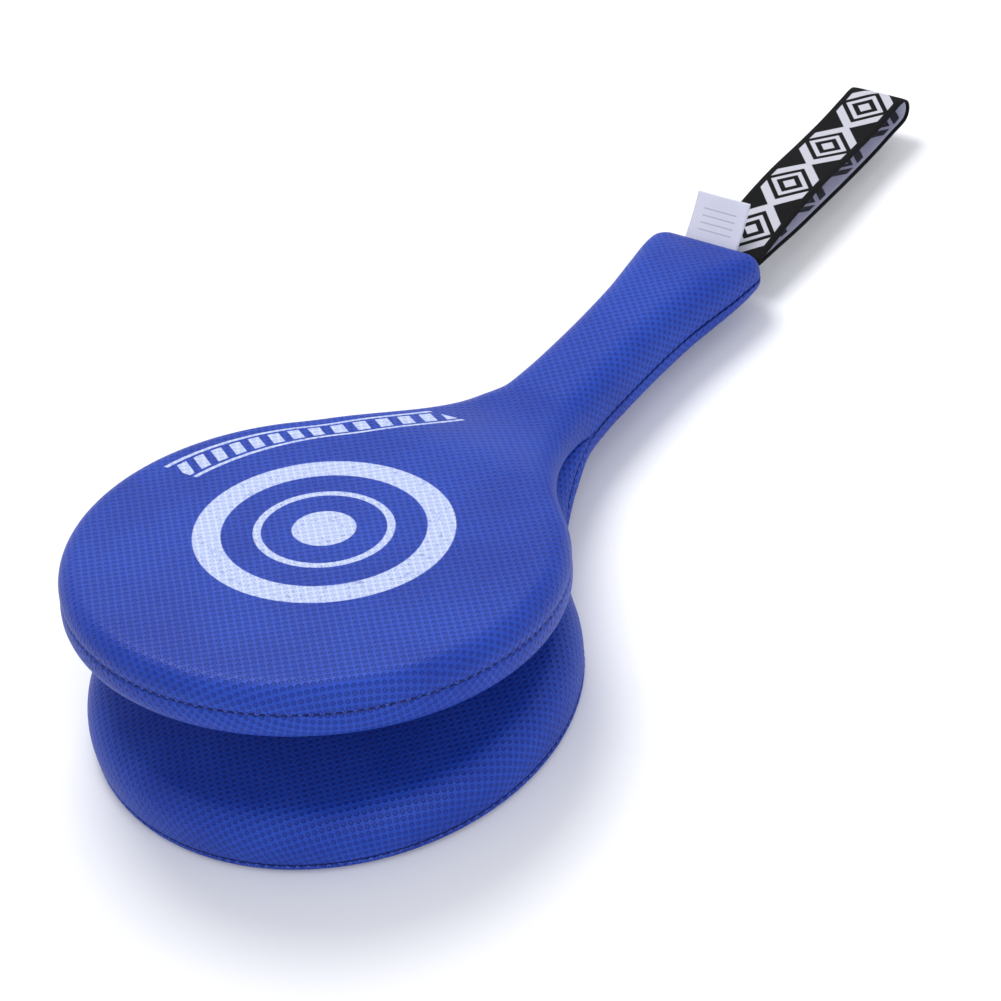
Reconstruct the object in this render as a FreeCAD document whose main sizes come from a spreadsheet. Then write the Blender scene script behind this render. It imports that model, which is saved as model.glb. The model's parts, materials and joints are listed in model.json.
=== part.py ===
import FreeCAD, Part
import Sketcher
import math
import os

# Double kick paddle for martial-arts training: two padded heads, one above the other,
# on flexible boards that share one padded handle, with a wrist strap and a care label.
# Head frame: X across, -Y towards the tip, Z up from the outer face, disc centre at 0,0.
# Handle frame: X across, +Y towards the pommel, Z from the plane between the two boards.
# Part frame: the lower head lies flat on Z = 0, origin at the centre of the footprint.

SIZES = {
    # heads
    "head_radius": 99, "neck_radius": 140, "neck_half": 21, "head_end": 146, "head_height": 24,
    "none": 0, "cover": 1, "rim_round": 7.5, "outer_foam": 11.5, "board": 2.5,
    "board_inset": 7.6, "tang_half": 15, "board_end": 149.7,
    "taper_start": 78, "taper_span": 60, "taper_rise": 8.4,
    "upper_seam": 11.4, "lower_seam": 3.6, "seam_gap": 0.8,
    # flex lines at the neck
    "flex_line": 150, "board_offset": 10.5, "lower_angle": 1.5, "upper_angle": 8.5,
    # handle
    "tang_start": 150.3, "grip_start": 154, "tang_end": 256, "pommel_end": 288, "grip_seam": -3,
    "side_length": 272,
    # strap and label
    "strap_width": 28, "strap_shift": 7, "webbing": 1.5, "strap_anchor_start": 268,
    "strap_anchor_end": 289.9, "strap_pivot": 291.5, "strap_length": 136, "strap_half": 6.2,
    "strap_spread": 58, "strap_lift": 1,
    "label_width": 27, "label_shift": -3.5, "label_length": 25, "label_thick": 0.4,
    "label_tail": 280, "label_pivot": 288.6, "label_lift": 45,
}

# handle cross-sections from neck to pommel: position along Y, half width, half height, corner radius
GRIP_SECTIONS = [
    ("neck", 154, 22, 15.7, 9),
    ("waist", 186, 20.8, 15.2, 11),
    ("palm", 232, 22, 14.6, 10.5),
    ("flare", 268, 27, 11.6, 8.5),
    ("pommel", 288, 28.5, 6.8, 5),
]

doc = FreeCAD.newDocument("kick_paddle")
sheet = doc.addObject("Spreadsheet::Sheet", "Sizes")


def fill_sheet():
    row = 1
    values = dict(SIZES)
    for name, place, half_width, half_height, corner in GRIP_SECTIONS:
        values[name + "_place"] = place
        values[name + "_width"] = half_width
        values[name + "_height"] = half_height
        values[name + "_corner"] = corner
    for alias, value in values.items():
        sheet.set("A%d" % row, alias)
        sheet.set("B%d" % row, str(value))
        sheet.setAlias("B%d" % row, alias)
        row += 1
    doc.recompute()


def size(alias):
    return float(sheet.get(alias))


def base_plane(body, role):
    for feature in body.Origin.OriginFeatures:
        if feature.Role == role:
            return feature
    raise RuntimeError("no plane " + role)


def new_sketch(body, name, role):
    sketch = body.newObject("Sketcher::SketchObject", name)
    sketch.AttachmentSupport = [(base_plane(body, role), "")]
    sketch.MapMode = "FlatFace"
    return sketch


def named(sketch, constraint, name, expression):
    index = sketch.addConstraint(constraint)
    sketch.renameConstraint(index, name)
    sketch.setExpression("Constraints." + name, expression)


def arc(centre_x, centre_y, radius, start, end):
    centre = FreeCAD.Vector(centre_x, centre_y, 0)
    circle = Part.Circle(centre, FreeCAD.Vector(0, 0, 1), radius)
    return Part.ArcOfCircle(circle, start, end)


def segment(x1, y1, x2, y2):
    return Part.LineSegment(FreeCAD.Vector(x1, y1, 0), FreeCAD.Vector(x2, y2, 0))


def racket_sketch(body, name, inset_alias, end_alias):
    """Disc and two concave neck arcs tangent to it, inset by a length and cut off at the neck."""
    inset = size(inset_alias)
    radius = size("head_radius") - inset
    neck = size("neck_radius") + inset
    across = size("neck_half") + size("neck_radius")
    end = size(end_alias)
    rise = math.sqrt((radius + neck) ** 2 - across ** 2)
    lean = math.asin(rise / (radius + neck))
    cut_off = math.asin((rise - end) / neck)
    half = across - neck * math.cos(cut_off)
    sketch = new_sketch(body, name, "XY_Plane")
    tip = sketch.addGeometry(arc(0, 0, radius, math.pi - lean, 2 * math.pi + lean))
    right = sketch.addGeometry(arc(across, rise, neck, math.pi + cut_off, math.pi + lean))
    left = sketch.addGeometry(arc(-across, rise, neck, -lean, -cut_off))
    top = sketch.addGeometry(segment(half, end, -half, end))
    add = sketch.addConstraint
    add(Sketcher.Constraint("Coincident", tip, 3, -1, 1))
    add(Sketcher.Constraint("Tangent", tip, 2, right, 2))
    add(Sketcher.Constraint("Tangent", left, 1, tip, 1))
    add(Sketcher.Constraint("Coincident", right, 1, top, 1))
    add(Sketcher.Constraint("Coincident", top, 2, left, 2))
    add(Sketcher.Constraint("Equal", left, right))
    add(Sketcher.Constraint("Symmetric", top, 1, top, 2, -2))
    named(sketch, Sketcher.Constraint("Radius", tip, radius), "tip_radius",
          "Sizes.head_radius - Sizes." + inset_alias)
    named(sketch, Sketcher.Constraint("Radius", right, neck), "neck_arc",
          "Sizes.neck_radius + Sizes." + inset_alias)
    named(sketch, Sketcher.Constraint("DistanceX", -1, 1, right, 3, across), "neck_across",
          "Sizes.neck_half + Sizes.neck_radius")
    named(sketch, Sketcher.Constraint("DistanceY", -1, 1, top, 1, end), "neck_end",
          "Sizes." + end_alias)
    return sketch


def taper_sketch(body, name, inset):
    """Region under the outer face near the neck, bounded by two tangent arcs."""
    span = size("taper_span")
    rise = size("taper_rise")
    start = size("taper_start")
    bend = (span ** 2 + rise ** 2) / (4 * rise)
    depth = size("cover") if inset else 0
    depth_text = "Sizes.cover" if inset else "0"
    turn = math.asin(span / 2 / bend)
    far = size("head_end") + 4
    sketch = new_sketch(body, name, "YZ_Plane")
    first = sketch.addGeometry(arc(start, bend, bend - depth, -math.pi / 2, -math.pi / 2 + turn))
    second = sketch.addGeometry(
        arc(start + span, rise - bend, bend + depth, math.pi / 2, math.pi / 2 + turn))
    ceiling = sketch.addGeometry(segment(start + span, rise + depth, far, rise + depth))
    back = sketch.addGeometry(segment(far, rise + depth, far, -2))
    floor = sketch.addGeometry(segment(far, -2, start, -2))
    front = sketch.addGeometry(segment(start, -2, start, depth))
    add = sketch.addConstraint
    add(Sketcher.Constraint("Tangent", first, 2, second, 2))
    add(Sketcher.Constraint("Tangent", second, 1, ceiling, 1))
    add(Sketcher.Constraint("Coincident", ceiling, 2, back, 1))
    add(Sketcher.Constraint("Coincident", back, 2, floor, 1))
    add(Sketcher.Constraint("Coincident", floor, 2, front, 1))
    add(Sketcher.Constraint("Coincident", front, 2, first, 1))
    add(Sketcher.Constraint("Vertical", back))
    add(Sketcher.Constraint("Horizontal", floor))
    add(Sketcher.Constraint("Horizontal", ceiling))
    add(Sketcher.Constraint("Vertical", front))
    bend_text = "(Sizes.taper_span ^ 2 + Sizes.taper_rise ^ 2) / (4 * Sizes.taper_rise)"
    named(sketch, Sketcher.Constraint("DistanceX", -1, 1, first, 3, start), "first_along",
          "Sizes.taper_start")
    named(sketch, Sketcher.Constraint("DistanceY", -1, 1, first, 3, bend), "first_up", bend_text)
    named(sketch, Sketcher.Constraint("DistanceX", -1, 1, front, 2, start), "front_along",
          "Sizes.taper_start")
    named(sketch, Sketcher.Constraint("DistanceY", front, 2, first, 3, bend - depth), "first_bend",
          bend_text + " - " + depth_text)
    named(sketch, Sketcher.Constraint("DistanceX", -1, 1, second, 3, start + span), "second_along",
          "Sizes.taper_start + Sizes.taper_span")
    named(sketch, Sketcher.Constraint("DistanceY", -1, 1, ceiling, 1, rise + depth), "ceiling_up",
          "Sizes.taper_rise + " + depth_text)
    named(sketch, Sketcher.Constraint("DistanceX", -1, 1, back, 1, far), "back_along",
          "Sizes.head_end + 4")
    add(Sketcher.Constraint("DistanceY", back, 2, -1, 1, 2))
    return sketch


def padded_body(name, inset):
    """One head's outer shape, or its cavity when inset by the cover thickness."""
    body = doc.addObject("PartDesign::Body", name)
    depth_alias = "cover" if inset else "none"
    outline = racket_sketch(body, name + "_outline", depth_alias, "head_end")
    pad = body.newObject("PartDesign::Pad", name + "_pad")
    pad.Profile = outline
    depth = " - 2 * Sizes.cover" if inset else ""
    pad.setExpression("Length", "Sizes.head_height" + depth)
    if inset:
        outline.setExpression("AttachmentOffset.Base.z", "Sizes.cover")
    pocket = body.newObject("PartDesign::Pocket", name + "_taper")
    pocket.Profile = taper_sketch(body, name + "_side", inset)
    pocket.Type = 1
    pocket.Midplane = True
    doc.recompute()
    rims = []
    for number, edge in enumerate(pocket.Shape.Edges, 1):
        if edge.BoundBox.YLength > 0.001:
            rims.append("Edge%d" % number)
    rounding = body.newObject("PartDesign::Fillet", name + "_rim")
    rounding.Base = (pocket, rims)
    rounding.setExpression("Radius", "Sizes.rim_round" + (" - Sizes.cover" if inset else ""))
    doc.recompute()
    return body


def slab(name, low, high):
    """A wide block between two heights given as sheet expressions."""
    block = doc.addObject("Part::Box", name)
    block.setExpression("Length", "4 * Sizes.head_radius")
    block.setExpression("Width", "6 * Sizes.head_radius")
    block.setExpression("Height", "(%s) - (%s)" % (high, low))
    block.setExpression("Placement.Base.x", "-2 * Sizes.head_radius")
    block.setExpression("Placement.Base.y", "-2 * Sizes.head_radius")
    block.setExpression("Placement.Base.z", low)
    return block


def box(name, x_low, x_high, y_low, y_high, z_low, z_high):
    """A block between limits given as sheet expressions."""
    block = doc.addObject("Part::Box", name)
    block.setExpression("Length", "(%s) - (%s)" % (x_high, x_low))
    block.setExpression("Width", "(%s) - (%s)" % (y_high, y_low))
    block.setExpression("Height", "(%s) - (%s)" % (z_high, z_low))
    block.setExpression("Placement.Base.x", x_low)
    block.setExpression("Placement.Base.y", y_low)
    block.setExpression("Placement.Base.z", z_low)
    return block


def cut(name, base, tool):
    result = doc.addObject("Part::Cut", name)
    result.Base = base
    result.Tool = tool
    return result


def common(name, first, second):
    result = doc.addObject("Part::Common", name)
    result.Base = first
    result.Tool = second
    return result


def board_body(name):
    """Racket-shaped flexible board, or the space it takes in the foam."""
    body = doc.addObject("PartDesign::Body", name)
    outline = racket_sketch(body, name + "_outline", "board_inset", "board_end")
    outline.setExpression("AttachmentOffset.Base.z", "Sizes.cover + Sizes.outer_foam")
    pad = body.newObject("PartDesign::Pad", name + "_pad")
    pad.Profile = outline
    pad.setExpression("Length", "Sizes.board")
    return body


def head(prefix):
    """All pieces of one padded head, in the head frame, as a dict of node name to object."""
    outside = padded_body(prefix + "_outside", False)
    cavity = padded_body(prefix + "_cavity", True)
    shell = cut(prefix + "_shell", outside, cavity)
    seam = "Sizes.%s_seam" % prefix
    seam_low = seam + " - Sizes.seam_gap / 2"
    seam_high = seam + " + Sizes.seam_gap / 2"
    board_low = "Sizes.cover + Sizes.outer_foam"
    top = "Sizes.head_height + 5"
    pieces = {}
    pieces[prefix + "_outer_cover"] = common(
        prefix + "_outer_cover", shell, slab(prefix + "_slab_outer", "-5", seam_low))
    pieces[prefix + "_inner_cover"] = common(
        prefix + "_inner_cover", shell, slab(prefix + "_slab_inner", seam_high, top))
    pieces[prefix + "_rim_stitching"] = common(
        prefix + "_rim_stitching", shell, slab(prefix + "_slab_seam", seam_low, seam_high))
    pieces[prefix + "_core_board"] = board_body(prefix + "_core_board")
    pieces[prefix + "_outer_foam"] = common(
        prefix + "_outer_foam", cavity, slab(prefix + "_slab_foam", "-5", board_low))
    inner = common(prefix + "_inner_part", cavity, slab(prefix + "_slab_rest", board_low, top))
    pieces[prefix + "_inner_foam"] = cut(
        prefix + "_inner_foam", inner, board_body(prefix + "_board_space"))
    return pieces


def grip_section(body, name, section, inset):
    label = section[0]
    depth = size("cover") if inset else 0
    depth_text = "Sizes.cover" if inset else "0"
    half = section[2] - depth
    tall = section[3] - depth
    corner = section[4] - depth
    sketch = new_sketch(body, name + "_" + label, "XZ_Plane")
    flat = half - corner
    side = tall - corner
    quarter = math.pi / 2
    arcs = []
    for index, (sign_x, sign_y) in enumerate([(1, 1), (-1, 1), (-1, -1), (1, -1)]):
        start = index * quarter
        arcs.append(sketch.addGeometry(
            arc(sign_x * flat, sign_y * side, corner, start, start + quarter)))
    lines = [
        sketch.addGeometry(segment(flat, tall, -flat, tall)),
        sketch.addGeometry(segment(-half, side, -half, -side)),
        sketch.addGeometry(segment(-flat, -tall, flat, -tall)),
        sketch.addGeometry(segment(half, -side, half, side)),
    ]
    add = sketch.addConstraint
    for index in range(4):
        add(Sketcher.Constraint("Tangent", arcs[index], 2, lines[index], 1))
        add(Sketcher.Constraint("Tangent", lines[index], 2, arcs[(index + 1) % 4], 1))
    for index in range(1, 4):
        add(Sketcher.Constraint("Equal", arcs[0], arcs[index]))
    add(Sketcher.Constraint("Horizontal", lines[0]))
    add(Sketcher.Constraint("Vertical", lines[1]))
    add(Sketcher.Constraint("Symmetric", lines[0], 1, lines[2], 1, -1, 1))
    named(sketch, Sketcher.Constraint("Radius", arcs[0], corner), "corner",
          "Sizes.%s_corner - %s" % (label, depth_text))
    named(sketch, Sketcher.Constraint("DistanceX", lines[1], 1, lines[3], 1, 2 * half), "width",
          "2 * (Sizes.%s_width - %s)" % (label, depth_text))
    named(sketch, Sketcher.Constraint("DistanceY", lines[2], 1, lines[0], 1, 2 * tall), "height",
          "2 * (Sizes.%s_height - %s)" % (label, depth_text))
    place = "-Sizes.%s_place" % label
    if inset and label == "pommel":
        place += " + Sizes.cover"
    sketch.setExpression("AttachmentOffset.Base.z", place)
    return sketch


def grip_body(name, inset):
    body = doc.addObject("PartDesign::Body", name)
    sections = [grip_section(body, name, section, inset) for section in GRIP_SECTIONS]
    loft = body.newObject("PartDesign::AdditiveLoft", name + "_loft")
    loft.Profile = sections[0]
    loft.Sections = sections[1:]
    doc.recompute()
    return body


def handle():
    """All fixed pieces of the handle, in the handle frame."""
    outside = grip_body("grip_outside", False)
    cavity = grip_body("grip_cavity", True)
    shell = cut("grip_shell", outside, cavity)
    seam_low = "Sizes.grip_seam - Sizes.seam_gap / 2"
    seam_high = "Sizes.grip_seam + Sizes.seam_gap / 2"
    strap_low = "Sizes.strap_shift - Sizes.strap_width / 2"
    strap_high = "Sizes.strap_shift + Sizes.strap_width / 2"
    label_low = "Sizes.label_shift - Sizes.label_width / 2"
    label_high = "Sizes.label_shift + Sizes.label_width / 2"
    anchor_low = "Sizes.grip_seam - Sizes.webbing"
    anchor_high = "Sizes.grip_seam + Sizes.webbing"
    label_top = anchor_high + " + Sizes.label_thick"
    tang_in = "Sizes.board_offset - Sizes.board / 2"
    tang_out = "Sizes.board_offset + Sizes.board / 2"
    half = "Sizes.tang_half"
    pieces = {}
    pieces["strap_anchor"] = box("strap_anchor", strap_low, strap_high, "Sizes.strap_anchor_start",
                                 "Sizes.strap_anchor_end", anchor_low, anchor_high)
    pieces["label_tail"] = box("label_tail", label_low, label_high, "Sizes.label_tail",
                               "Sizes.pommel_end", anchor_high, label_top)
    pieces["spacer_block"] = box("spacer_block", "-" + half, half, "Sizes.grip_start",
                                 "Sizes.tang_end", "-(%s)" % tang_in, tang_in)
    pieces["upper_tang"] = box("upper_tang", "-" + half, half, "Sizes.tang_start",
                               "Sizes.tang_end", tang_in, tang_out)
    pieces["lower_tang"] = box("lower_tang", "-" + half, half, "Sizes.tang_start",
                               "Sizes.tang_end", "-(%s)" % tang_out, "-(%s)" % tang_in)
    core = box("grip_core", "-" + half, half, "Sizes.tang_start", "Sizes.tang_end",
               "-(%s)" % tang_out, tang_out)
    strap_slot = box("strap_slot", strap_low, strap_high, "Sizes.strap_anchor_start",
                     "Sizes.strap_anchor_end", anchor_low, anchor_high)
    label_slot = box("label_slot", label_low, label_high, "Sizes.label_tail",
                     "Sizes.pommel_end", anchor_high, label_top)
    tucked = doc.addObject("Part::MultiFuse", "tucked_ends")
    tucked.Shapes = [strap_slot, label_slot]
    filling = cut("grip_filling_core", cavity, core)
    filling = cut("grip_filling", filling, tucked)
    slotted = cut("grip_shell_slot", shell, tucked)
    above = slab("grip_above", "Sizes.grip_seam", "40")
    below = slab("grip_below", "-40", "Sizes.grip_seam")
    pieces["upper_grip_foam"] = common("upper_grip_foam", filling, above)
    pieces["lower_grip_foam"] = common("lower_grip_foam", filling, below)
    pieces["upper_grip_cover"] = common(
        "upper_grip_cover", slotted, slab("grip_above_seam", seam_high, "40"))
    pieces["lower_grip_cover"] = common(
        "lower_grip_cover", slotted, slab("grip_below_seam", "-40", seam_low))
    ring = common("grip_seam_ring", slotted, slab("grip_seam_slab", seam_low, seam_high))
    for side, low, high in (("left", "-60", "0"), ("right", "0", "60")):
        block = box("seam_block_" + side, low, high, "100", "Sizes.side_length", "-20", "20")
        pieces[side + "_grip_stitching"] = common(side + "_grip_stitching", ring, block)
    end_low = box("seam_block_far", "-60", strap_low, "Sizes.side_length", "320", "-20", "20")
    end_high = box("seam_block_near", strap_high, "60", "Sizes.side_length", "320", "-20", "20")
    pieces["left_end_stitching"] = common("left_end_stitching", ring, end_low)
    pieces["right_end_stitching"] = common("right_end_stitching", ring, end_high)
    return pieces


def strap_loop():
    """Webbing loop in its own frame: root at 0, loop along +Y, webbing width along X."""
    width = size("strap_width")
    web = size("webbing")
    length = size("strap_length")
    half = size("strap_half")
    spread = size("strap_spread")
    body = doc.addObject("PartDesign::Body", "strap_loop")
    sketch = new_sketch(body, "strap_profile", "YZ_Plane")
    add = sketch.addConstraint
    for inner in (False, True):
        depth = web if inner else 0
        start = 3 * web if inner else 0
        radius = half - depth
        root = 0.1 if inner else web
        quarter = math.pi / 2
        nose = sketch.addGeometry(arc(length - half, 0, radius, -quarter, quarter))
        flat_up = sketch.addGeometry(segment(length - half, radius, spread, radius))
        slope_up = sketch.addGeometry(segment(spread, radius, start, root))
        butt = sketch.addGeometry(segment(start, root, start, -root))
        slope_down = sketch.addGeometry(segment(start, -root, spread, -radius))
        flat_down = sketch.addGeometry(segment(spread, -radius, length - half, -radius))
        chain = [flat_up, slope_up, butt, slope_down, flat_down]
        for first, second in zip(chain, chain[1:]):
            add(Sketcher.Constraint("Coincident", first, 2, second, 1))
        add(Sketcher.Constraint("Tangent", nose, 2, flat_up, 1))
        add(Sketcher.Constraint("Tangent", flat_down, 2, nose, 1))
        add(Sketcher.Constraint("PointOnObject", nose, 3, -1))
        add(Sketcher.Constraint("Horizontal", flat_up))
        add(Sketcher.Constraint("Symmetric", flat_up, 2, flat_down, 1, -1))
        add(Sketcher.Constraint("Symmetric", butt, 1, butt, 2, -1))
        tag = "inner_" if inner else "outer_"
        take = " - Sizes.webbing" if inner else ""
        named(sketch, Sketcher.Constraint("Radius", nose, radius), tag + "nose",
              "Sizes.strap_half" + take)
        named(sketch, Sketcher.Constraint("DistanceX", -1, 1, nose, 3, length - half),
              tag + "reach", "Sizes.strap_length - Sizes.strap_half")
        named(sketch, Sketcher.Constraint("DistanceX", -1, 1, slope_up, 1, spread),
              tag + "spread", "Sizes.strap_spread")
        add(Sketcher.Constraint("DistanceY", butt, 2, butt, 1, 2 * root))
        if inner:
            named(sketch, Sketcher.Constraint("DistanceX", -1, 1, butt, 1, start), "inner_root",
                  "3 * Sizes.webbing")
        else:
            add(Sketcher.Constraint("PointOnObject", butt, 1, -2))
    pad = body.newObject("PartDesign::Pad", "strap_pad")
    pad.Profile = sketch
    pad.Midplane = True
    pad.setExpression("Length", "Sizes.strap_width")
    root_pin = doc.addObject("Part::Cylinder", "strap_root")
    root_pin.setExpression("Radius", "Sizes.webbing")
    root_pin.setExpression("Height", "Sizes.strap_width")
    root_pin.setExpression("Placement.Base.x", "-Sizes.strap_width / 2")
    root_pin.Placement.Rotation = FreeCAD.Rotation(FreeCAD.Vector(0, 1, 0), 90)
    loop = doc.addObject("Part::Fuse", "wrist_strap")
    loop.Base = body
    loop.Tool = root_pin
    return loop


def label_flap():
    """Care label in its own frame: sewn edge at 0, free edge along +Y."""
    return box("care_label", "-Sizes.label_width / 2", "Sizes.label_width / 2", "0.3",
               "Sizes.label_length", "-Sizes.label_thick / 2", "Sizes.label_thick / 2")


def turn_about(y_centre, z_centre, degrees):
    """Placement that turns about an X-direction line."""
    centre = FreeCAD.Vector(0, y_centre, z_centre)
    rotation = FreeCAD.Rotation(FreeCAD.Vector(1, 0, 0), degrees)
    return FreeCAD.Placement(centre - rotation.multVec(centre), rotation)


def shift_by(x_step, y_step, z_step):
    return FreeCAD.Placement(FreeCAD.Vector(x_step, y_step, z_step), FreeCAD.Rotation())


def frames():
    """Placements of the head, handle, strap and label frames before centring."""
    board_mid = size("cover") + size("outer_foam") + size("board") / 2
    flex = size("flex_line")
    offset = size("board_offset")
    droop = turn_about(flex, board_mid, -size("lower_angle"))
    handle_frame = droop * shift_by(0, 0, board_mid + offset)
    flip = FreeCAD.Placement(FreeCAD.Vector(), FreeCAD.Rotation(FreeCAD.Vector(0, 1, 0), 180))
    lift = turn_about(flex, offset, -size("upper_angle"))
    upper_frame = handle_frame * lift * shift_by(0, 0, offset + board_mid) * flip
    strap_turn = FreeCAD.Rotation(FreeCAD.Vector(1, 0, 0), size("strap_lift"))
    strap_root = FreeCAD.Vector(size("strap_shift"), size("strap_pivot"), size("grip_seam"))
    strap_frame = handle_frame * FreeCAD.Placement(strap_root, strap_turn)
    label_turn = FreeCAD.Rotation(FreeCAD.Vector(1, 0, 0), size("label_lift"))
    label_high = size("grip_seam") + size("webbing") + size("label_thick") / 2
    label_root = FreeCAD.Vector(size("label_shift"), size("label_pivot"), label_high)
    label_frame = handle_frame * FreeCAD.Placement(label_root, label_turn)
    return {
        "lower_head": shift_by(0, 0, 0), "handle": handle_frame, "upper_head": upper_frame,
        "strap": strap_frame, "label": label_frame,
    }


def check_document():
    for item in doc.Objects:
        for word in ("Invalid", "Error"):
            if word in item.State:
                raise RuntimeError("%s is %s" % (item.Name, item.State))


def set_down(piece, placement):
    """Moves a finished piece from its own frame to the part frame."""
    for path, _expression in list(piece.ExpressionEngine):
        if path.lstrip(".").startswith("Placement"):
            piece.setExpression(path, None)
    piece.Placement = placement * piece.Placement


def write_piece(name, piece):
    if piece.Shape.isNull() or not piece.Shape.isValid():
        raise RuntimeError("bad shape " + name)
    if len(piece.Shape.Solids) != 1:
        raise RuntimeError("%s has %d solids" % (name, len(piece.Shape.Solids)))
    piece.Shape.exportStep("parts/%s.step" % name)
    print(name, round(piece.Shape.Volume, 1))


def main():
    fill_sheet()
    groups = {
        "lower_head": head("lower"), "upper_head": head("upper"), "handle": handle(),
        "strap": {"wrist_strap": strap_loop()}, "label": {"care_label": label_flap()},
    }
    doc.recompute()
    check_document()
    places = frames()
    pieces = {}
    for group, members in groups.items():
        for name, piece in members.items():
            piece.Label = name
            set_down(piece, places[group])
            pieces[name] = piece
    doc.recompute()
    bounds = FreeCAD.BoundBox()
    for piece in pieces.values():
        bounds.add(piece.Shape.optimalBoundingBox(False))
    centring = shift_by(-bounds.Center.x, -bounds.Center.y, -bounds.ZMin)
    for piece in pieces.values():
        set_down(piece, centring)
    doc.recompute()
    check_document()
    os.makedirs("parts", exist_ok=True)
    for name, piece in pieces.items():
        write_piece(name, piece)
    report_frames(places, centring, bounds)


def report_frames(places, centring, bounds):
    """Prints the axes of the flexing joints in the part frame."""
    lines = {
        "lower_flex": ("handle", size("flex_line"), -size("board_offset")),
        "upper_flex": ("handle", size("flex_line"), size("board_offset")),
        "strap_swing": ("strap", 0, 0), "label_flap": ("label", 0, 0),
    }
    for name, (frame, y_place, z_place) in lines.items():
        point = (centring * places[frame]).multVec(FreeCAD.Vector(0, y_place, z_place))
        print(name, [round(value / 1000, 6) for value in point])
    print("size", round(bounds.XLength, 2), round(bounds.YLength, 2), round(bounds.ZLength, 2))


main()
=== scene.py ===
import json
import math
import bmesh
import bpy
import numpy as np
from mathutils import Matrix, Vector


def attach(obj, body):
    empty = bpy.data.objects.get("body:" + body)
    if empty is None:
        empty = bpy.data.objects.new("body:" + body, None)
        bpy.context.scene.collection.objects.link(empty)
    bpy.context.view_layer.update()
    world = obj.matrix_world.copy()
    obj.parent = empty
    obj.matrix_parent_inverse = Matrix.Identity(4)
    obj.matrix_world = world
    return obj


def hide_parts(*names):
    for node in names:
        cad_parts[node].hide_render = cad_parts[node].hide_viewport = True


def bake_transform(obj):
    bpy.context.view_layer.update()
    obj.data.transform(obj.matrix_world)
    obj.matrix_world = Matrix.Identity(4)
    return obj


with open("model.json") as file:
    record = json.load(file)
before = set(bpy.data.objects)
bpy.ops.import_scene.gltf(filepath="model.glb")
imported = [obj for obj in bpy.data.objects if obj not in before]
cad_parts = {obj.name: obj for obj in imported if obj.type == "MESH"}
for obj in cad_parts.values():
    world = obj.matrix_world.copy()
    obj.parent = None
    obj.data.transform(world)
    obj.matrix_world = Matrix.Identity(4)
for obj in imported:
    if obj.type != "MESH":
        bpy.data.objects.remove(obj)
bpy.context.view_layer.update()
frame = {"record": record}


# ---------------------------------------------------------------- handle frame and main sizes

# Shapes are worked out in a flattened handle frame, in millimetres: X across, Y from the middle
# of the head towards the handle's end, Z from the plane between the two boards. The two flex
# lines give its place in the row frame.
joints = {joint["name"]: joint for joint in frame["record"]["behaviour"]["joints"]}
LOW_PIN = 1000 * np.array(joints["lower_flex"]["pos_m"], float)
TOP_PIN = 1000 * np.array(joints["upper_flex"]["pos_m"], float)
FLEX = 150.0
UP = (TOP_PIN - LOW_PIN) / np.linalg.norm(TOP_PIN - LOW_PIN)
ALONG = np.array([0.0, UP[2], -UP[1]])
ORIGIN = (LOW_PIN + TOP_PIN) / 2 - FLEX * ALONG

# Each head's bend in degrees, and the height of its flex line.
BENDS = {"upper": (-8.5, 10.5), "lower": (1.5, -10.5)}

# The outline: a disc, a hollow neck arc on either side, and a handle with a rounded end.
DISC = 99.0
NECK = 140.0
NECK_X = 161.0
NECK_Y = math.sqrt((DISC + NECK) ** 2 - NECK_X ** 2)
END = 288.0
END_ROUND = 9.0

# How finely the outline is sampled.
END_STEPS = 9
GRIP_STEP = 2.4
NECK_STEPS = 36
DISC_STEPS = 98

# The cross-section changes from the head's to the handle's over these stretches of Y.
THINNING = (78, 138)
SEAM_ZONE = (75, 165)
GRIP_ZONE = (118, 160)
INNER_ZONE = (146, 158)
POMMEL_ZONE = (256, 278)
SPINE_END = 270

HEAD_HEIGHT = 24.25
HEAD_THINNING = 8.4

# In the handle: inward reach of the outer round, what the pommel takes off it, and the
# reach and height of the inner round.
GRIP_REACH = 15.5
POMMEL_LESS = 7
GRIP_EDGE = (1.0, 0.8)

# Heights of the inner face and of the seam, each on the head and in the handle, then the inward
# reach and height of the rounds, and the share of the outer face's swell. Z points away from
# the other pad. The lower pad's outer face rests on the ground, so it has no swell.
PADS = {
    "upper": {"inner": (0.25, -2.9), "seam": (12.85, -2.9), "outer_round": (9, 9),
              "inner_round": (8, 8), "crown": 1.0},
    "lower": {"inner": (0.25, 3.1), "seam": (20.65, 3.1), "outer_round": (3.4, 3.2),
              "inner_round": (12, 14), "crown": 0.0},
}
CROWN_REACH = 88
CROWN_RISE = 1.1
CROWN_WAVE = 0.22

# The seam is a fine groove in a wide shallow one, as (depth, half width), and fades in the handle.
GROOVES = ((0.7, 0.8), (0.35, 3.2))
GROOVE_FADE = 0.7
FADE_ZONE = (150, 162)
NEAR_SEAM = [0.0, 0.35, 0.7, 1.1, 1.6, 2.4]

# Stitch pitch, thread radius, and one stitch's points as (ahead, raised, sunk).
STITCH = 4.0
THREAD_RADIUS = 0.21
STITCH_SHAPE = [(-0.75, 0.95, 0.42), (-0.3, 0.3, 0.62), (0, 0, 0.75), (0.3, 0.3, 0.62), (0.75, 0.95, 0.42)]

# The outer face's texture coordinates are X and Y, and the inner face's are set this far aside.
INNER_ASIDE = 1000
RING = (-1.6, 8.5)


# ---------------------------------------------------------------- curves

def smooth(value, low, high):
    """0 below low, 1 above high, and an S-curve between them."""
    t = np.clip((np.asarray(value, float) - low) / (high - low), 0, 1)
    return t * t * (3 - 2 * t)


def mix(first, second, share):
    return first * (1 - share) + second * share


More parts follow.
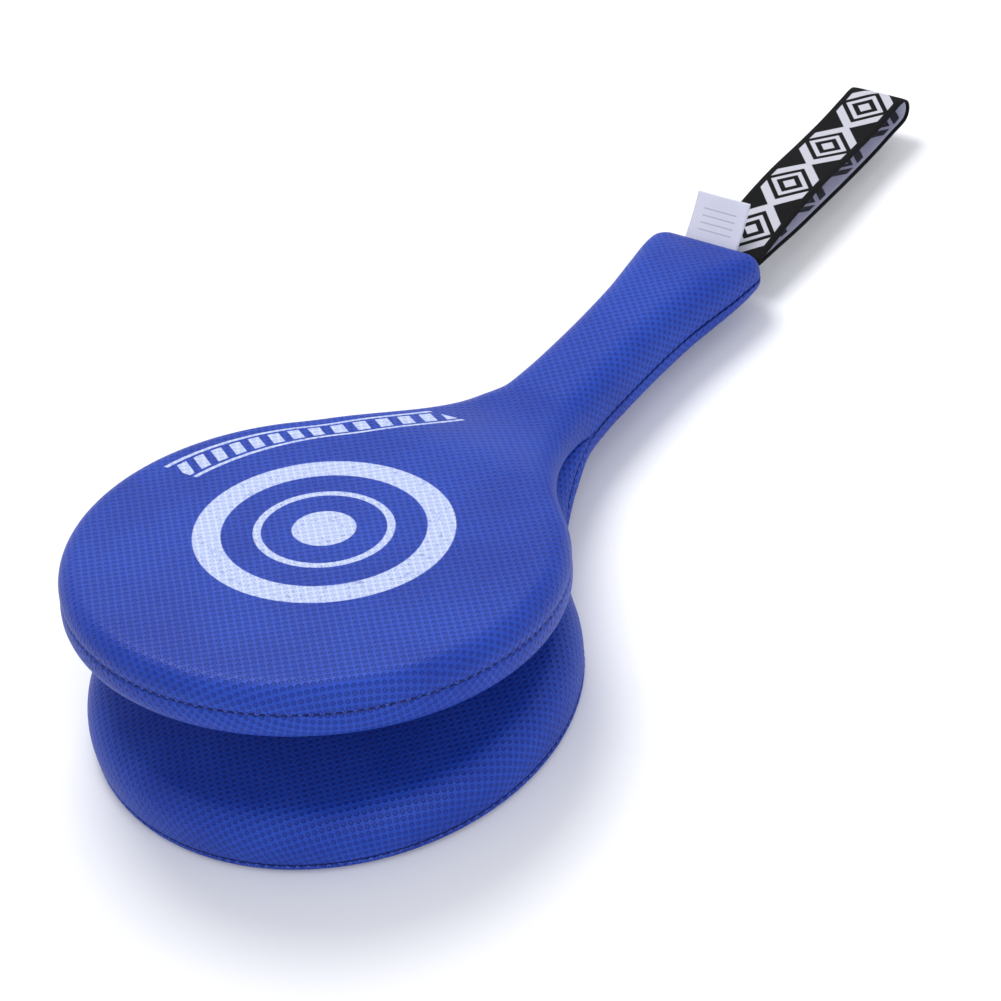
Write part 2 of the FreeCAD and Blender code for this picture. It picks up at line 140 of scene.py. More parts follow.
def hermite(t, step, start, end, start_slope, end_slope):
    """Cubic from start to end with the given slopes, as t goes from 0 to 1 over a step."""
    return ((2 * t ** 3 - 3 * t ** 2 + 1) * start + (t ** 3 - 2 * t ** 2 + t) * step * start_slope
            + (3 * t ** 2 - 2 * t ** 3) * end + (t ** 3 - t ** 2) * step * end_slope)


def curve_through(knots):
    """Smooth function through (place, value) knots."""
    xs = np.array([k[0] for k in knots], float)
    ys = np.array([k[1] for k in knots], float)
    slopes = np.gradient(ys, xs)

    def value(x):
        x = np.clip(x, xs[0], xs[-1])
        i = np.clip(np.searchsorted(xs, x) - 1, 0, len(xs) - 2)
        step = xs[i + 1] - xs[i]
        return hermite((x - xs[i]) / step, step, ys[i], ys[i + 1], slopes[i], slopes[i + 1])
    return value


def arc_lengths(points):
    """Distance along a polyline to each of its points."""
    return np.concatenate([[0], np.cumsum(np.linalg.norm(np.diff(points, axis=0), axis=1))])


def along(points, arc, at):
    """Points at the distances in at along a polyline."""
    return np.column_stack([np.interp(at, arc, points[:, k]) for k in range(points.shape[1])])


# ---------------------------------------------------------------- padded skins

HALF_WIDTH = curve_through([(142, 25.3), (154, 22.7), (170, 21.2), (186, 20.8),
                            (232, 22), (268, 27), (288, 28.4)])
GRIP_TOP = curve_through([(138, 15.85), (154, 15.7), (186, 15.2), (232, 14.6), (268, 11.6), (288, 6.8)])


def outer_height(y):
    """Height of a pad's outer face without its crown."""
    y = np.asarray(y, float)
    head = HEAD_HEIGHT - HEAD_THINNING * smooth(y, *THINNING)
    return np.where(y < THINNING[1], head, GRIP_TOP(y))


def outline():
    """Outline from the handle's end round the head and back: points and outward normals."""
    points = []
    normals = []
    round_x = float(HALF_WIDTH(END - END_ROUND)) - END_ROUND
    for x in np.linspace(0, round_x, END_STEPS)[:-1]:
        points.append((x, END))
        normals.append((0, 1))
    for turn in np.linspace(math.pi / 2, 0, END_STEPS):
        points.append((round_x + END_ROUND * math.cos(turn), END - END_ROUND + END_ROUND * math.sin(turn)))
        normals.append((math.cos(turn), math.sin(turn)))
    for y in np.arange(END - END_ROUND - GRIP_STEP, FLEX, -GRIP_STEP):
        slope = float(HALF_WIDTH(y + 0.5) - HALF_WIDTH(y - 0.5))
        length = math.hypot(1, slope)
        points.append((float(HALF_WIDTH(y)), y))
        normals.append((1 / length, -slope / length))
    lean = math.atan2(NECK_Y, NECK_X)
    first = math.asin((NECK_Y - FLEX) / NECK)
    for turn in np.linspace(math.pi + first, math.pi + lean, NECK_STEPS):
        normal = (-math.cos(turn), -math.sin(turn))
        points.append((NECK_X - NECK * normal[0], NECK_Y - NECK * normal[1]))
        normals.append(normal)
    for turn in np.linspace(lean, -math.pi / 2, DISC_STEPS)[1:]:
        points.append((DISC * math.cos(turn), DISC * math.sin(turn)))
        normals.append((math.cos(turn), math.sin(turn)))
    points = np.array(points)
    normals = np.array(normals)
    mirror = np.array([-1, 1])
    points = np.vstack([points, points[-2:0:-1] * mirror])
    normals = np.vstack([normals, normals[-2:0:-1] * mirror])
    points[0, 0] = 0
    return points, normals


def profile(pad, point, normal):
    """Dense cross-section of a pad's skin, from the middle of its outer face to the inner one."""
    y = point[1]
    grip = float(smooth(y, *GRIP_ZONE))
    power = 2 + 0.6 * grip
    grip_reach = GRIP_REACH - POMMEL_LESS * float(smooth(y, *POMMEL_ZONE))
    out_x = mix(pad["outer_round"][0], grip_reach, grip)
    in_x = mix(pad["inner_round"][0], GRIP_EDGE[0], grip)
    middle = np.array([0, min(max(y, 0), SPINE_END)])

    def span(corner):
        return np.linalg.norm(point - normal * corner - middle) + 1e-9

    def inward(distance, corner):
        """Places at distances in from the outline: square to it in the round, then to the middle."""
        near = point - normal * np.minimum(distance, corner)[:, None]
        start = point - normal * corner
        share = np.clip((distance - corner) / span(corner), 0, 1)[:, None]
        return near + (middle - start) * share

    def inner_height(places):
        low, grip_low = pad["inner"]
        return low + (grip_low - low) * smooth(places[:, 1], *INNER_ZONE)

    def crowned(places):
        """Height of the outer face with its swell and a slight uneven wave."""
        reach = (places[:, 0] ** 2 + places[:, 1] ** 2) / CROWN_REACH ** 2
        swell = CROWN_RISE * np.clip(1 - reach, 0, 1) ** 1.5
        wave = np.sin(places[:, 0] / 17 + 1) * np.sin(places[:, 1] / 23 + 0.6)
        crown = pad["crown"] * (swell + CROWN_WAVE * wave * np.clip(1 - reach, 0, 1))
        return outer_height(places[:, 1]) + crown

    seam = pad["seam"][0] + (pad["seam"][1] - pad["seam"][0]) * float(smooth(y, *SEAM_ZONE))
    low_z = float(inner_height(np.array([[0, y]]))[0])
    tall_out = pad["outer_round"][1] * (1 - grip)
    tall_in = mix(pad["inner_round"][1], GRIP_EDGE[1], grip)

    rows = []
    places = inward(np.linspace(out_x + span(out_x), out_x, 16)[:-1], out_x)
    rows.append(np.column_stack([places, crowned(places)]))

    turned = np.sin(np.linspace(0, math.pi / 2, 46))
    rise = (1 - turned ** power) ** (1 / power)
    places = inward(out_x * (1 - turned), out_x)
    heights = crowned(places)
    drop = tall_out + (heights - low_z - tall_in) * grip
    rows.append(np.column_stack([places, heights - drop * (1 - rise)]))

    wall_top = rows[-1][-1, 2]
    wall_low = low_z + tall_in
    if wall_top - wall_low > 0.2:
        wall = np.linspace(wall_top, wall_low, 14)[1:-1]
        rows.append(np.column_stack([np.tile(point, (len(wall), 1)), wall]))

    turned = np.sin(np.linspace(math.pi / 2, 0, 46))
    rise = np.sqrt(1 - turned ** 2)
    places = inward(in_x * (1 - turned), in_x)
    rows.append(np.column_stack([places, inner_height(places) + tall_in * (1 - rise)]))

    places = inward(np.linspace(in_x, in_x + span(in_x), 16)[1:], in_x)
    rows.append(np.column_stack([places, inner_height(places)]))

    line = np.vstack(rows)
    arc = arc_lengths(line)
    outer_count = len(rows[0])
    inner_start = len(line) - len(rows[-1])
    rim = slice(outer_count, inner_start)
    rim_arc = arc[rim]
    rim_z = line[rim, 2]
    order = np.argsort(rim_z)
    seam_arc = float(np.interp(max(seam, low_z + 0.05), rim_z[order], rim_arc[order]))
    return line, arc, seam_arc, arc[outer_count], arc[inner_start - 1], out_x, in_x


def sample_places(length, reach, wide, far):
    """Distances from the seam: fine beside it, then even steps to reach, then wider ones."""
    near = min(reach, 0.8 * length)
    out = list(NEAR_SEAM)
    out += list(np.linspace(NEAR_SEAM[-1], near, wide + 1)[1:])
    out += list(np.linspace(near, length, far + 1)[1:])
    return np.array(out)


def outward_from(line, arc, at, normal):
    """Unit vectors square to a cross-section, pointing out of the pad."""
    half_step = 0.3
    ahead = along(line, arc, np.clip(at + half_step, 0, arc[-1]))
    behind = along(line, arc, np.clip(at - half_step, 0, arc[-1]))
    slope = ahead - behind
    outward = np.array([normal[0], normal[1], 0])
    facing = -slope[:, 2:3] * outward + (slope @ outward)[:, None] * np.array([0, 0, 1.0])
    return facing / (np.linalg.norm(facing, axis=1)[:, None] + 1e-9)


def build_skin(name):
    """Closed skin of one half of the paddle: vertices, faces, UVs and the seam line."""
    pad = PADS[name]
    points, normals = outline()
    count = len(points)
    s = arc_lengths(np.vstack([points, points[:1]]))
    grid = []
    flat = []
    sewn = []
    across = []
    for point, normal in zip(points, normals):
        line, arc, seam_arc, start_out, start_in, out_x, in_x = profile(pad, point, normal)
        upward = sample_places(seam_arc, reach=26, wide=16, far=13)
        downward = sample_places(arc[-1] - seam_arc, reach=30, wide=15, far=9)
        v = np.concatenate([upward[::-1], -downward[1:]])
        at = seam_arc - v
        place = along(line, arc, at)
        facing = outward_from(line, arc, at, normal)
        depth = sum(deep * np.exp(-(v / wide) ** 2) for deep, wide in GROOVES)
        depth *= 1 - GROOVE_FADE * float(smooth(point[1], *FADE_ZONE))
        seam_index = len(upward) - 1
        sewn.append(place[seam_index])
        across.append(facing[seam_index])
        place = place - facing * depth[:, None]
        grid.append(place)
        over = np.clip(at - start_out, 0, None)[:, None]
        top_uv = np.where(over > 0, point - normal * out_x + normal * over, place[:, :2])
        under = np.clip(start_in - at, 0, None)[:, None]
        low_uv = np.where(under > 0, point - normal * in_x + normal * under, place[:, :2])
        flat.append((top_uv, low_uv + np.array([INNER_ASIDE, 0]), v))
    rings = len(grid[0])
    faces = []
    uv_flat = []
    uv_edge = []
    for j in range(count):
        k = (j + 1) % count
        for i in range(rings - 1):
            faces.append((j * rings + i, k * rings + i, k * rings + i + 1, j * rings + i + 1))
            layer = 0 if i < seam_index else 1
            loops = ((j, i, s[j]), (k, i, s[j + 1]), (k, i + 1, s[j + 1]), (j, i + 1, s[j]))
            for column, ring, place in loops:
                uv_flat.append(flat[column][layer][ring])
                uv_edge.append((place, flat[column][2][ring]))
    line = {"s": s[:-1], "total": s[-1], "place": np.array(sewn), "out": np.array(across), "outline": points}
    return np.vstack(grid), faces, np.array(uv_flat), np.array(uv_edge), line


def to_row(points, name):
    """Flattened handle frame in millimetres to the row frame in metres, flexed open at the neck."""
    points = np.asarray(points, float).copy()
    if name == "lower":
        points[:, 2] *= -1
    degrees, pivot = BENDS[name]
    angle = math.radians(degrees) * (1 - smooth(points[:, 1], 140, 160))
    y = points[:, 1] - FLEX
    z = points[:, 2] - pivot
    turned_y = FLEX + y * np.cos(angle) - z * np.sin(angle)
    turned_z = pivot + y * np.sin(angle) + z * np.cos(angle)
    row = ORIGIN + turned_y[:, None] * ALONG + turned_z[:, None] * UP
    row[:, 0] = points[:, 0]
    return row / 1000


# ---------------------------------------------------------------- meshes

def add_piece(mesh, weld=False):
    """Shade a mesh smooth, turn its faces outwards and put it in the scene as an object."""
    mesh.polygons.foreach_set("use_smooth", [True] * len(mesh.polygons))
    work = bmesh.new()
    work.from_mesh(mesh)
    if weld:
        bmesh.ops.remove_doubles(work, verts=work.verts, dist=2e-6)
        bmesh.ops.dissolve_degenerate(work, edges=work.edges, dist=1e-7)
    bmesh.ops.recalc_face_normals(work, faces=work.faces)
    work.to_mesh(mesh)
    work.free()
    mesh.update()
    piece = bpy.data.objects.new(mesh.name, mesh)
    bpy.context.scene.collection.objects.link(piece)
    return piece


def make_mesh(name, vertices, faces, uvs=None):
    mesh = bpy.data.meshes.new(name)
    mesh.from_pydata([tuple(v) for v in vertices], [], [tuple(f) for f in faces])
    for layer_name, values in (uvs or {}).items():
        layer = mesh.uv_layers.new(name=layer_name)
        layer.data.foreach_set("uv", np.asarray(values, np.float32).ravel())
    return add_piece(mesh, weld=True)


def rod(points, radius, sides=6):
    """Closed thin rod through points: vertices and faces."""
    points = np.asarray(points, float)
    reference = (0.3, 0.2, 0.93)
    vertices = []
    faces = []
    tangents = np.gradient(points, axis=0)
    for point, tangent in zip(points, tangents):
        tangent = tangent / (np.linalg.norm(tangent) + 1e-9)
        side = np.cross(tangent, reference)
        side /= np.linalg.norm(side) + 1e-9
        other = np.cross(tangent, side)
        for turn in range(sides):
            angle = 2 * math.pi * turn / sides
            vertices.append(point + radius * (math.cos(angle) * side + math.sin(angle) * other))
    rings = len(points)
    for i in range(rings - 1):
        for t in range(sides):
            u = (t + 1) % sides
            faces.append((i * sides + t, i * sides + u, (i + 1) * sides + u, (i + 1) * sides + t))
    faces.append(tuple(range(sides))[::-1])
    faces.append(tuple((rings - 1) * sides + t for t in range(sides)))
    return vertices, faces


def seam_thread(name, line, keep):
    """Small V-shaped stitches sunk in the seam, one every few millimetres."""
    vertices = []
    faces = []
    for k in range(int(line["total"] / STITCH)):
        s = (k + 0.5) * STITCH
        place, ahead = along(line["place"], line["s"], [s, s + 0.5])
        if not keep(place):
            continue
        out = along(line["out"], line["s"], [s])[0]
        out /= np.linalg.norm(out)
        run = (ahead - place) / (np.linalg.norm(ahead - place) + 1e-9)
        rise = np.cross(run, out)
        rise *= np.sign(rise[2]) or 1
        path = [place + forth * run + raised * rise - sunk * out for forth, raised, sunk in STITCH_SHAPE]
        more, sides = rod(path, THREAD_RADIUS)
        base = len(vertices)
        vertices += more
        faces += [tuple(base + f for f in face) for face in sides]
    return to_row(np.array(vertices), name), faces


# ---------------------------------------------------------------- materials

class Nodes:
    """Short helper for building node trees."""

    def __init__(self, name):
        self.material = bpy.data.materials.new(name)
        self.material.use_nodes = True
        self.tree = self.material.node_tree
        self.shader = self.tree.nodes["Principled BSDF"]

    def put(self, socket, value):
        if isinstance(value, bpy.types.NodeSocket):
            self.tree.links.new(value, socket)
        else:
            socket.default_value = value

    def math(self, operation, a, b=0.0, c=0.0):
        node = self.tree.nodes.new("ShaderNodeMath")
        node.operation = operation
        for socket, value in zip(node.inputs, (a, b, c)):
            self.put(socket, value)
        return node.outputs[0]

    def times(self, first, *others):
        for other in others:
            first = self.math("MULTIPLY", first, other)
        return first

    def most(self, first, *others):
        for other in others:
            first = self.math("MAXIMUM", first, other)
        return first

    def wave(self, value, pitch):
        return self.math("SINE", self.times(value, 2 * math.pi / pitch))

    def ramp(self, value, low, high, out_low=0.0, out_high=1.0):
        node = self.tree.nodes.new("ShaderNodeMapRange")
        node.interpolation_type = "SMOOTHSTEP"
        for socket, item in zip(node.inputs[:5], (value, low, high, out_low, out_high)):
            self.put(socket, item)
        return node.outputs[0]

    def near(self, value, middle, inside, outside):
        """1 where value is within inside of the middle, 0 where it is past outside."""
        gap = self.math("ABSOLUTE", self.math("SUBTRACT", value, middle))
        return self.ramp(gap, inside, outside, 1, 0)

    def repeat(self, value, pitch):
        """Distance from the middle of each repeat, as a share of the pitch."""
        share = self.math("FRACT", self.math("DIVIDE", value, pitch))
        return self.math("ABSOLUTE", self.math("SUBTRACT", share, 0.5))

    def blend(self, share, first, second):
        node = self.tree.nodes.new("ShaderNodeMix")
        node.data_type = "RGBA"
        self.put(node.inputs[0], share)
        self.put(node.inputs[6], first)
        self.put(node.inputs[7], second)
        return node.outputs[2]

    def noise(self, scale, detail):
        node = self.tree.nodes.new("ShaderNodeTexNoise")
        node.inputs["Scale"].default_value = scale
        node.inputs["Detail"].default_value = detail
        source = self.tree.nodes.new("ShaderNodeTexCoord")
        self.tree.links.new(source.outputs["Object"], node.inputs["Vector"])
        return node.outputs[0]

    def uv(self, name):
        node = self.tree.nodes.new("ShaderNodeUVMap")
        node.uv_map = name
        split = self.tree.nodes.new("ShaderNodeSeparateXYZ")
        self.tree.links.new(node.outputs[0], split.inputs[0])
        return split.outputs[0], split.outputs[1]

    def bump(self, height, distance):
        node = self.tree.nodes.new("ShaderNodeBump")
        node.inputs["Strength"].default_value = 1.0
        node.inputs["Distance"].default_value = distance
        self.tree.links.new(height, node.inputs["Height"])
        self.tree.links.new(node.outputs[0], self.shader.inputs["Normal"])


def rgba(red, green, blue):
    """Linear colour from 0-255 display values."""
    out = []
    for value in (red, green, blue):
        value /= 255
        out.append(value / 12.92 if value <= 0.04045 else ((value + 0.055) / 1.055) ** 2.4)
    return (*out, 1.0)


def bullseye(n, u, v):
    """The printed ring, a thin ring inside it and a disc in the middle."""
    du = n.math("SUBTRACT", u, RING[0])
    dv = n.math("SUBTRACT", v, RING[1])
    radius = n.math("SQRT", n.math("ADD", n.times(du, du), n.times(dv, dv)))
    ring = n.near(radius, 45.5, 5.2, 5.8)
    thin = n.near(radius, 26, 1.3, 1.8)
    disc = n.ramp(radius, 12.2, 12.8, 1, 0)
    return n.most(ring, thin, disc)


def barred_band(n, s, edge, band):
    """Slanted bars between two lines, printed along part of the rim."""
    within = n.times(n.ramp(s, band[0], band[0] + 0.5), n.ramp(s, band[1] - 0.5, band[1], 1, 0))
    slant = n.repeat(n.math("ADD", s, n.times(edge, 0.6)), 9.0)
    bars = n.times(n.ramp(slant, 0.26, 0.3, 1, 0), n.near(edge, 28, 4.8, 5.2))
    lines = n.most(n.near(edge, 20.5, 0.7, 1.1), n.near(edge, 35.5, 0.7, 1.1))
    return n.times(within, n.most(bars, lines))


def leather(name, band=None):
    """Embossed synthetic leather: staggered pits and a sewn seam, both with painted shade, and, on request,
    a white print.
    """
    n = Nodes(name)
    u, v = n.uv("flat")
    s, edge = n.uv("edge")
    turn = 2 * math.pi / 4.0
    wander = n.times(n.noise(60, 1), 0.9)
    cells = n.times(n.math("COSINE", n.math("ADD", n.times(u, turn), wander)),
                    n.math("COSINE", n.times(v, turn)))
    pit = n.ramp(cells, -0.02, 0.5)
    sunk = n.ramp(cells, -0.9, -0.2, 0.12, 0.0)
    patch = n.noise(22, 3)
    body = n.blend(n.ramp(patch, 0.3, 0.7), rgba(20, 56, 160), rgba(32, 69, 175))
    # Painted shade: the colour darkens to a deep blue in the pits.
    colour = n.blend(n.times(pit, 0.5), body, rgba(12, 32, 118))
    if band:
        marks = n.most(bullseye(n, u, v), barred_band(n, s, edge, band))
        wear = n.ramp(n.noise(420, 2), 0.28, 0.42, 0.62, 1.0)
        # The print also gets painted shade: the ink darkens in the pits.
        ink = n.blend(n.times(pit, 0.22), rgba(190, 201, 234), rgba(104, 126, 206))
        colour = n.blend(n.times(marks, wear), colour, ink)
    # Painted shade in the seam groove: the colour darkens to deep blue along the seam, most between the
    # stitches.
    beat = n.math("COSINE", n.times(s, 2 * math.pi / STITCH))
    groove_shade = n.times(n.near(edge, 0, 0.2, 0.75), n.ramp(beat, -0.6, 0.6, 0.7, 1.0))
    colour = n.blend(groove_shade, colour, rgba(8, 20, 84))
    n.put(n.shader.inputs["Base Color"], colour)
    n.put(n.shader.inputs["Roughness"], n.ramp(patch, 0.2, 0.8, 0.42, 0.54))
    n.shader.inputs["Specular IOR Level"].default_value = 0.24
    pull = n.times(n.near(edge, 0, 0.5, 5.0), beat)
    creases = n.noise(34, 4)
    height = n.math("SUBTRACT", n.times(creases, 1.1), n.math("ADD", pit, sunk))
    height = n.math("SUBTRACT", height, n.times(pull, 0.25))
    height = n.math("ADD", height, n.times(n.noise(1800, 1), 0.12))
    n.bump(height, 0.00042)
    return n.material


def plain(name, first, second, rough, scale, bump):
    """Two close colours mixed by a fine grain, which also gives the bump."""
    n = Nodes(name)
    grain = n.noise(scale, 3)
    n.put(n.shader.inputs["Base Color"], n.blend(n.ramp(grain, 0.3, 0.7), rgba(*first), rgba(*second)))
    n.shader.inputs["Roughness"].default_value = rough
    n.bump(grain, bump)
    return n.material


def webbing(name, ground, figure):
    """Jacquard webbing: ribbed weave, diamond and cross figures between plain selvages."""
    n = Nodes(name)
    u, v = n.uv("flat")
    pitch = 34.0
    middle = n.math("ABSOLUTE", v)
    reach = n.math("ADD", n.times(n.repeat(u, pitch), pitch), middle)
    diamond = n.near(reach, 8.4, 1.3, 1.6)
    core = n.ramp(reach, 3.4, 3.8, 1, 0)
    cross = n.near(reach, 15.6, 2.6, 3.0)
    marks = n.times(n.most(diamond, core, cross), n.ramp(middle, 10.8, 11.1, 1, 0))
    weave = n.times(n.wave(u, 0.9), n.wave(v, 1.3))
    speck = n.ramp(weave, -0.8, 0.3, 0.72, 1.0)
    selvage = n.ramp(middle, 12.4, 12.7)
    colour = n.blend(n.times(marks, speck), rgba(*ground), rgba(*figure))
    colour = n.blend(selvage, colour, rgba(10, 10, 12))
    n.put(n.shader.inputs["Base Color"], colour)
    n.shader.inputs["Roughness"].default_value = 0.85
    n.shader.inputs["Specular IOR Level"].default_value = 0.2
    n.bump(n.math("ADD", weave, n.times(marks, 0.6)), 0.00018)
    return n.material


def satin(name):
    """White care label: fine weave, folded hem and faint plain rules, no lettering."""
    n = Nodes(name)
    u, v = n.uv("flat")
    rule = n.ramp(n.repeat(u, 3.2), 0.07, 0.1, 1, 0)
    inside = n.times(n.near(v, 0, 8.4, 8.6), n.ramp(u, 7.6, 7.8), n.ramp(u, 20.4, 20.6, 1, 0))
    colour = n.blend(n.times(rule, inside, 0.5), rgba(228, 228, 244), rgba(120, 124, 150))
    n.put(n.shader.inputs["Base Color"], colour)
    n.shader.inputs["Roughness"].default_value = 0.42
    n.shader.inputs["Sheen Weight"].default_value = 0.3
    threads = n.times(n.math("SINE", n.times(u, 14.0)), n.math("SINE", n.times(v, 20.0)))
    n.bump(n.math("ADD", threads, n.times(n.noise(160, 2), 2.0)), 0.00008)
    return n.material


def dress(piece, *materials):
    piece.data.materials.clear()
    for material in materials:
        piece.data.materials.append(material)


# ---------------------------------------------------------------- skins and seams

skins = {side: build_skin(side) for side in ("upper", "lower")}
upper_line = skins["upper"][4]


def rim_distance(x, y):
    """Distance round the upper rim to the point of its left side that is nearest to (x, y)."""
    left = slice(len(upper_line["outline"]) // 2, None)
    points = upper_line["outline"][left]
    gap = np.hypot(points[:, 0] - x, points[:, 1] - y)
    return float(upper_line["s"][left][int(np.argmin(gap))])


BAND = sorted((rim_distance(-97, 14), rim_distance(-36, 114)))
thread_mat = plain("thread_finish", (34, 62, 160), (84, 110, 200), 0.8, 900, 0.00005)
skin_mats = {"upper": leather("leather_upper", BAND), "lower": leather("leather_lower")}
STITCH_NODES = {
    "upper": ["upper_rim_stitching", "left_grip_stitching", "right_grip_stitching",
              "left_end_stitching", "right_end_stitching"],
    "lower": ["lower_rim_stitching"],
}

# The two skins share one seam along the handle, so only the upper one is stitched there.
STITCHED_TO = {"upper": 284, "lower": 150}
for side in ("upper", "lower"):
    vertices, faces, uv_flat, uv_edge, line = skins[side]
    skin = make_mesh(side + "_skin", to_row(vertices, side), faces,
                     {"flat": uv_flat, "edge": uv_edge})
    dress(skin, skin_mats[side])
    thread_points, thread_faces = seam_thread(side, line, lambda place: place[1] < STITCHED_TO[side])
    thread = make_mesh(side + "_stitches", thread_points, thread_faces)
    dress(thread, thread_mat)
    for piece in (skin, thread):
        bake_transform(piece)
    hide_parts(*[side + "_" + part for part in (
        "outer_cover", "inner_cover", "outer_foam", "inner_foam", "grip_cover", "grip_foam")])
    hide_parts(*STITCH_NODES[side])


# ---------------------------------------------------------------- wrist strap and care label

def ribbon(name, path, normals, half_width, thick, centre_x, columns, materials, curl=None):
    """Closed flat ribbon along a path in the YZ plane, its width along X, in metres.

    It thins towards its edges. The first material is on the side that the normals point to.
    """
    s = arc_lengths(path) * 1000
    xs = np.linspace(-half_width, half_width, columns)
    vertices = []
    uvs = []
    for level in (0.5, -0.5):
        for i in range(len(path)):
            for x in xs:
                edge = 1 - 0.35 * (abs(x) / half_width) ** 10
                lift = curl(s[i] / 1000, x) if curl else 0
                yz = path[i] + normals[i] * (level * thick * edge + lift)
                vertices.append((centre_x + x, yz[0], yz[1]))
                uvs.append((s[i], x * 1000))
    rows = len(path)
    layer = rows * columns
    faces = []
    kinds = []
    for i in range(rows - 1):
        for c in range(columns - 1):
            a = i * columns + c
            faces.append((a, a + 1, a + columns + 1, a + columns))
            kinds.append(0)
            b = layer + a
            faces.append((b, b + columns, b + columns + 1, b + 1))
            kinds.append(1)
        for c in (0, columns - 1):
            a = i * columns + c
            quad = (a, a + columns, layer + a + columns, layer + a)
            faces.append(quad if c == 0 else quad[::-1])
            kinds.append(0)
    for c in range(columns - 1):
        faces.append((c, layer + c, layer + c + 1, c + 1))
        a = (rows - 1) * columns + c
        faces.append((a, a + 1, layer + a + 1, layer + a))
        kinds += [0, 0]
    loops = [uvs[i] for face in faces for i in face]
    mesh = bpy.data.meshes.new(name)
    mesh.from_pydata(vertices, [], faces)
    mesh.uv_layers.new(name="flat").data.foreach_set("uv", np.array(loops, np.float32).ravel())
    for material in materials:
        mesh.materials.append(material)
    mesh.polygons.foreach_set("material_index", kinds)
    return add_piece(mesh), s[-1] / 1000


def smooth_path(points, count):
    """Evenly spaced points and unit normals along a smooth curve through points."""
    points = np.asarray(points, float)
    chord = arc_lengths(points)
    slopes = np.gradient(points, chord, axis=0)
    out = []
    for t in np.linspace(0, chord[-1], 800):
        i = min(max(int(np.searchsorted(chord, t)) - 1, 0), len(chord) - 2)
        step = chord[i + 1] - chord[i]
        share = (t - chord[i]) / step
        out.append(hermite(share, step, points[i], points[i + 1], slopes[i], slopes[i + 1]))
    out = np.array(out)
    arc = arc_lengths(out)
    line = along(out, arc, np.linspace(0, arc[-1], count))
    tangent = np.gradient(line, axis=0)
    tangent /= np.linalg.norm(tangent, axis=1)[:, None]
    return line, np.column_stack([-tangent[:, 1], tangent[:, 0]])


def placed(line, normals, pivot, degrees):
    """Local millimetres in the YZ plane to the row frame, turned up from +Y."""
    turn = math.radians(degrees)
    spin = np.array([[math.cos(turn), -math.sin(turn)], [math.sin(turn), math.cos(turn)]])
    return line @ spin.T / 1000 + np.array(pivot), normals @ spin.T


def label_curl(s, x):
    """The label's slight twist, growing from its sewn edge to its free one."""
    return 0.0006 * math.sin(x * 260 + s * 60) * s / 0.025


strap_pin = joints["strap_swing"]["pos_m"]
label_pin = joints["label_flap"]["pos_m"]

# Side view of the loop, as (distance from its sewn root, height): two legs and a round nose.
STRAP_TOP = [(0.3, 0.78), (14, 2.5), (32, 4.9), (56, 6.0), (80, 5.0), (104, 4.5), (122, 5.2)]
STRAP_LOW = [(0.3, -0.78), (14, -1.8), (32, -3.5), (56, -4.7), (80, -5.7), (104, -6.0), (122, -5.5)]
NOSE_Y = 129.8
NOSE_ROUND = 5.4
nose = [(NOSE_Y + NOSE_ROUND * math.cos(t), NOSE_ROUND * math.sin(t))
        for t in np.linspace(math.pi / 2, -math.pi / 2, 9)]
line, normals = smooth_path(STRAP_TOP + nose + STRAP_LOW[::-1], 150)
line, normals = placed(line, normals, strap_pin[1:], -0.5)
strap_mats = (webbing("webbing_outside", (9, 9, 11), (214, 214, 224)),
              webbing("webbing_inside", (200, 200, 226), (12, 12, 16)))
strap, strap_length = ribbon("strap_loop", line, normals, 0.014, 0.00135, strap_pin[0], 15, strap_mats)
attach(strap, "strap")
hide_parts("wrist_strap")

LEAF = [(0.4, 0.0), (6, -0.25), (12, -0.1), (18, 0.5), (24.7, 1.7)]
line, normals = smooth_path(LEAF, 26)
line, normals = placed(line, normals, label_pin[1:], 43.5)
label_mats = (satin("label_finish"), satin("label_back_finish"))
label, _ = ribbon("label_leaf", line, normals, 0.0135, 0.0004, label_pin[0], 22, label_mats, label_curl)
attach(label, "label")
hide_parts("care_label")

# ---------------------------------------------------------------- pieces inside the skins

INSIDE = {
    "flex_board": plain("board_finish", (196, 198, 192), (214, 216, 210), 0.55, 120, 0.00005),
    "spacer_eva": plain("spacer_finish", (26, 26, 28), (40, 40, 42), 0.85, 700, 0.0001),
    "foam": plain("foam_finish", (218, 218, 210), (236, 236, 228), 0.95, 900, 0.0002),
    "webbing": plain("anchor_finish", (24, 24, 28), (60, 60, 66), 0.85, 1200, 0.0001),
    "label_satin": plain("tail_finish", (228, 228, 240), (240, 240, 250), 0.5, 1200, 0.00004),
    "thread": thread_mat,
    "synthetic_leather": plain("leather_plain", (48, 70, 182), (64, 88, 200), 0.45, 400, 0.0001),
}
slots = {part["node"]: part["material_slot"] for part in frame["record"]["subparts"]}
for node, slot in slots.items():
    piece = bpy.data.objects.get(node)
    if piece is not None and piece.type == "MESH":
        dress(piece, INSIDE[slot])

# ---------------------------------------------------------------- floor and light

FLOOR_Z = -0.0006
bpy.ops.mesh.primitive_grid_add(size=8, x_subdivisions=4, y_subdivisions=4, location=(0, 0, FLOOR_Z))
floor = bpy.context.object
floor.name = "floor"
dress(floor, plain("floor_finish", (246, 246, 248), (250, 250, 251), 0.9, 3, 0.0))

world = bpy.data.worlds.new("studio")
bpy.context.scene.world = world
world.use_nodes = True
world.node_tree.nodes["Background"].inputs[0].default_value = (0.93, 0.95, 1.0, 1)
world.node_tree.nodes["Background"].inputs[1].default_value = 0.75


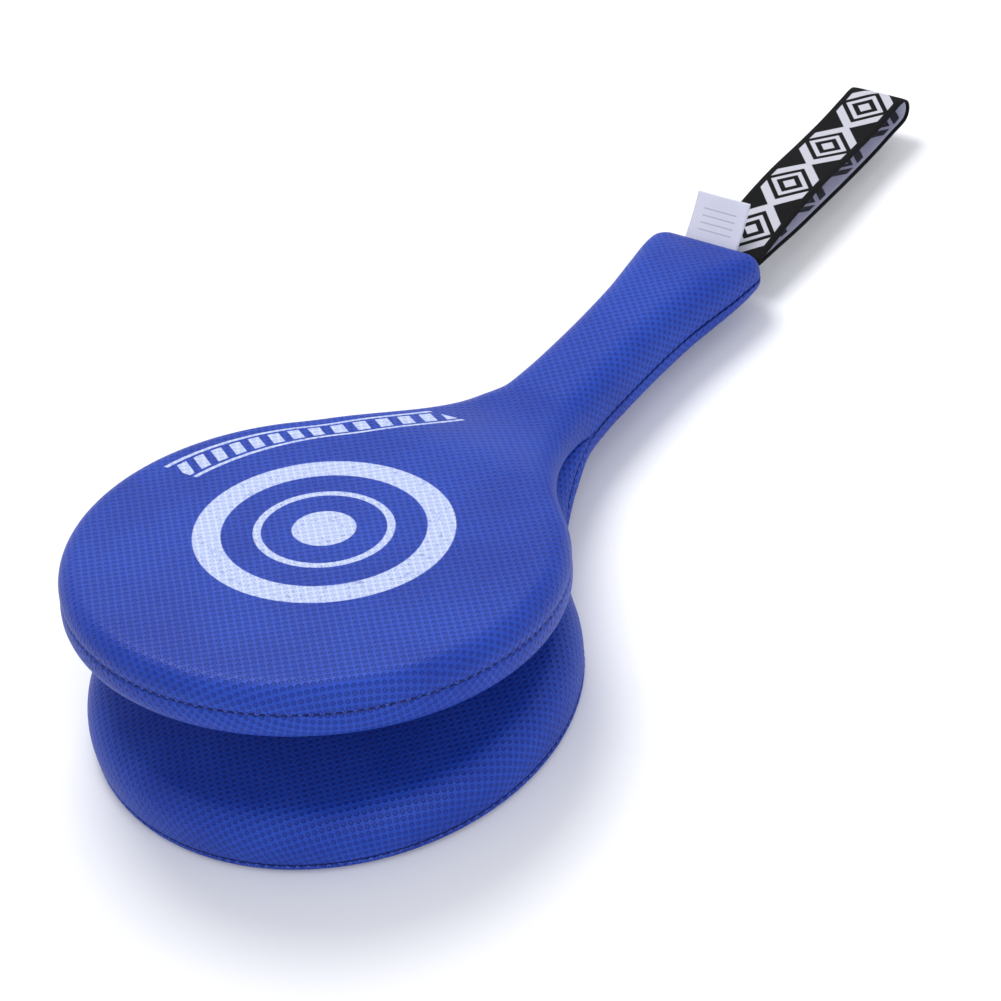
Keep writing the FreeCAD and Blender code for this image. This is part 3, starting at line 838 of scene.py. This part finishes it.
def area(name, place, target, size, power):
    data = bpy.data.lights.new(name, "AREA")
    data.shape = "DISK"
    data.size = size
    data.energy = power
    lamp = bpy.data.objects.new(name, data)
    lamp.location = place
    lamp.rotation_euler = (Vector(target) - Vector(place)).to_track_quat("-Z", "Y").to_euler()
    bpy.context.scene.collection.objects.link(lamp)


area("key", (-0.55, 0.35, 1.25), (0, -0.05, 0), 0.7, 12)
area("fill", (1.1, -0.9, 0.8), (0, -0.1, 0.03), 0.9, 6)

# ---------------------------------------------------------------- camera

# The view direction is set by three angles, then swung about the upper head's face and leant
# about X. The camera stands back from the printed ring, with a small shift across the view.
AZIMUTH, ELEVATION, ROLL = (math.radians(v) for v in (47.3, 42.0, -14.8))
FACE_TILT = math.radians(10)
SWING = math.radians(-3.3)
LEAN = math.radians(4)
DISTANCE = 1.272
SHIFT_RIGHT = 0.0680
SHIFT_UP = 0.0109
RING_HEIGHT = 25.2
SENSOR = 36
LENS = 118.68

forward = Vector((-math.sin(AZIMUTH) * math.cos(ELEVATION), math.cos(AZIMUTH) * math.cos(ELEVATION),
                  -math.sin(ELEVATION)))
right = Vector((math.cos(AZIMUTH), math.sin(AZIMUTH), 0))
up = right.cross(forward)
right, up = (math.cos(ROLL) * right + math.sin(ROLL) * up, -math.sin(ROLL) * right + math.cos(ROLL) * up)
face_out = Vector((0, math.sin(FACE_TILT), math.cos(FACE_TILT)))
view_turn = Matrix.Rotation(SWING, 3, face_out) @ Matrix.Rotation(LEAN, 3, "X")
forward, right, up = (view_turn @ axis for axis in (forward, right, up))
ring_place = Vector(to_row([[RING[0], RING[1], RING_HEIGHT]], "upper")[0])
place = ring_place - DISTANCE * forward + SHIFT_RIGHT * right + SHIFT_UP * up
camera_data = bpy.data.cameras.new("camera")
camera_data.sensor_width = SENSOR
camera_data.lens = LENS
camera = bpy.data.objects.new("camera", camera_data)
camera.matrix_world = Matrix.Translation(place) @ Matrix((right, up, -forward)).transposed().to_4x4()
bpy.context.scene.collection.objects.link(camera)
bpy.context.scene.camera = camera
bpy.context.scene.view_settings.view_transform = "Standard"
